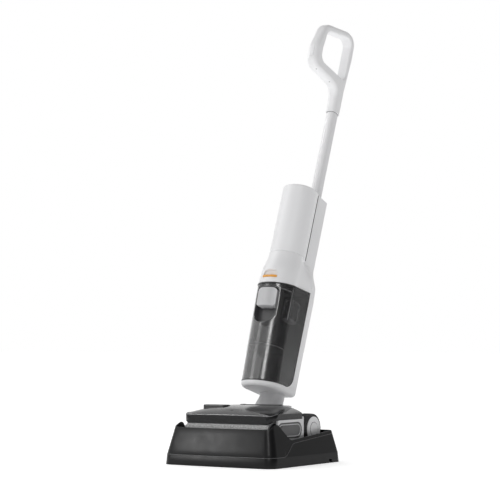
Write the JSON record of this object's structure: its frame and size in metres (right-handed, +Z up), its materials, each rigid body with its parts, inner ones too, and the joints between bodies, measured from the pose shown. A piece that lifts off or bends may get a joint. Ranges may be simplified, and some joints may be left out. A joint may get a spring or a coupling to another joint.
{
  "type": "wet dry floor scrubber",
  "caption": "Upright cordless wet dry floor scrubber with a smoked dirty tank, fleece roller head, loop handle and black charging dock.",
  "frame": {"origin": "on the floor, 5 mm behind the centre of the dock's footprint", "axes": "+Z up, the machine faces -Y, +X to the right of someone standing in front of it; left and right in names are that person's"},
  "size_m": [0.308, 0.6333, 1.1101],
  "materials": {
    "black_plastic": "matt",
    "board": "solder mask",
    "brass": "bright",
    "cell_wrap": "shrink wrap",
    "dark_grey_plastic": "satin",
    "display": "glossy black window",
    "dock_plastic": "satin black",
    "filter_media": "pleated",
    "fleece": "short microfibre pile",
    "light_grey_plastic": "fine satin",
    "neck_plastic": "fine satin",
    "orange_plastic": "satin",
    "rubber": "matt",
    "smoked_clear": "smoked clear polycarbonate",
    "steel": "brushed",
    "tube_metal": "white powder coat",
    "tyre": "matt",
    "white_plastic": "satin moulded"
  },
  "bodies": {
    "dock": {"dock_skirt": "dock_plastic", "dock_shroud": "dock_plastic", "dock_base_plate": "black_plastic", "dock_feet": "rubber", "dock_tray": "black_plastic", "charging_contacts": "brass", "dock_power_inlet": "black_plastic"},
    "floor_head": {"head_chassis": "dark_grey_plastic", "side_plate_left": "light_grey_plastic", "side_plate_right": "light_grey_plastic", "side_caps": "dark_grey_plastic", "roller_pins": "steel", "roller_motor": "steel", "scraper": "light_grey_plastic", "spray_bar": "black_plastic", "rear_covers": "black_plastic", "wheel_axles": "steel", "pivot_pins": "steel"},
    "roller": {"roller_core": "dark_grey_plastic", "roller_fleece": "fleece"},
    "roller_cover": {"roller_cover": "smoked_clear"},
    "cover_latch": {"cover_latch": "black_plastic"},
    "wheel_left": {"wheel_tyre_left": "tyre", "wheel_hub_left": "dark_grey_plastic", "wheel_cap_left": "white_plastic"},
    "wheel_right": {"wheel_tyre_right": "tyre", "wheel_hub_right": "dark_grey_plastic", "wheel_cap_right": "white_plastic"},
    "neck": {"neck_shell": "neck_plastic", "swivel_ring": "steel"},
    "body": {"lower_base": "white_plastic", "front_housing": "white_plastic", "spine_shell": "white_plastic", "suction_motor": "steel", "battery_pack": "cell_wrap", "control_board": "board", "water_pump": "black_plastic", "handle_tube": "tube_metal", "handle_half_left": "white_plastic", "handle_half_right": "white_plastic", "status_display": "display"},
    "fan": {"fan_rotor": "dark_grey_plastic"},
    "dirty_tank": {"tank_shell": "smoked_clear", "tank_lid": "dark_grey_plastic", "tank_seal": "rubber", "grip_recess": "dark_grey_plastic", "strainer_bucket": "smoked_clear", "intake_pipe": "dark_grey_plastic", "filter_frame": "light_grey_plastic", "filter_cartridge": "filter_media", "float_rod": "light_grey_plastic"},
    "tank_latch": {"tank_latch": "light_grey_plastic"},
    "level_float": {"level_float": "white_plastic"},
    "clean_tank": {"clean_tank": "white_plastic", "clean_tank_valve": "black_plastic"},
    "release_button": {"release_button": "orange_plastic"},
    "power_button": {"power_button": "white_plastic"},
    "mode_button": {"mode_button": "white_plastic"},
    "self_clean_button": {"self_clean_button": "white_plastic"}
  },
  "joints": [
    {"name": "head_lift_out", "type": "slide", "parent": "dock", "child": "floor_head", "axis": [0, 0, 1], "range_m": [0, 0.15]},
    {"name": "roller_spin", "type": "hinge", "parent": "floor_head", "child": "roller", "pos_m": [0, -0.0875, 0.0755], "axis": [1, 0, 0], "continuous": true},
    {"name": "wheel_left_spin", "type": "hinge", "parent": "floor_head", "child": "wheel_left", "pos_m": [-0.1, 0.085, 0.0795], "axis": [1, 0, 0], "continuous": true},
    {"name": "wheel_right_spin", "type": "hinge", "parent": "floor_head", "child": "wheel_right", "pos_m": [0.1, 0.085, 0.0795], "axis": [1, 0, 0], "continuous": true},
    {"name": "cover_lift", "type": "slide", "parent": "floor_head", "child": "roller_cover", "axis": [0, 0, 1], "range_m": [0, 0.014]},
    {"name": "cover_latch_press", "type": "slide", "parent": "roller_cover", "child": "cover_latch", "axis": [0, 0, -1], "range_m": [0, 0.003], "stiffness_N_per_m": 600, "springref_m": -0.0025},
    {"name": "neck_tilt", "type": "hinge", "parent": "floor_head", "child": "neck", "pos_m": [0, 0.056, 0.091], "axis": [1, 0, 0], "range_deg": [-26, 21]},
    {"name": "body_swivel", "type": "hinge", "parent": "neck", "child": "body", "pos_m": [0, 0.08231, 0.15098], "axis": [0, 0.3584, 0.9336], "range_deg": [-35, 35]},
    {"name": "fan_spin", "type": "hinge", "parent": "body", "child": "fan", "pos_m": [0, 0.13941, 0.4504], "axis": [0, 0.3584, 0.9336], "continuous": true},
    {"name": "dirty_tank_slide", "type": "slide", "parent": "body", "child": "dirty_tank", "axis": [0, -0.9775, 0.2111], "range_m": [0, 0.12]},
    {"name": "tank_latch_press", "type": "slide", "parent": "dirty_tank", "child": "tank_latch", "axis": [0, 0.9336, -0.3584], "range_m": [0, 0.003], "stiffness_N_per_m": 800, "springref_m": -0.0025},
    {"name": "float_rise", "type": "slide", "parent": "dirty_tank", "child": "level_float", "axis": [0, 0.3584, 0.9336], "range_m": [0, 0.014]},
    {"name": "clean_tank_lift", "type": "slide", "parent": "body", "child": "clean_tank", "axis": [0, 0.3584, 0.9336], "range_m": [0, 0.12]},
    {"name": "release_press", "type": "slide", "parent": "body", "child": "release_button", "axis": [0, 0.9336, -0.3584], "range_m": [0, 0.002], "stiffness_N_per_m": 400, "springref_m": -0.002},
    {"name": "power_press", "type": "slide", "parent": "body", "child": "power_button", "axis": [0, -0.0391, -0.9992], "range_m": [0, 0.001], "stiffness_N_per_m": 400, "springref_m": -0.00125},
    {"name": "mode_press", "type": "slide", "parent": "body", "child": "mode_button", "axis": [0, 0.9336, -0.3584], "range_m": [0, 0.001], "stiffness_N_per_m": 400, "springref_m": -0.00125},
    {"name": "self_clean_press", "type": "slide", "parent": "body", "child": "self_clean_button", "axis": [0, -0.0391, -0.9992], "range_m": [0, 0.001], "stiffness_N_per_m": 400, "springref_m": -0.00125}
  ]
}
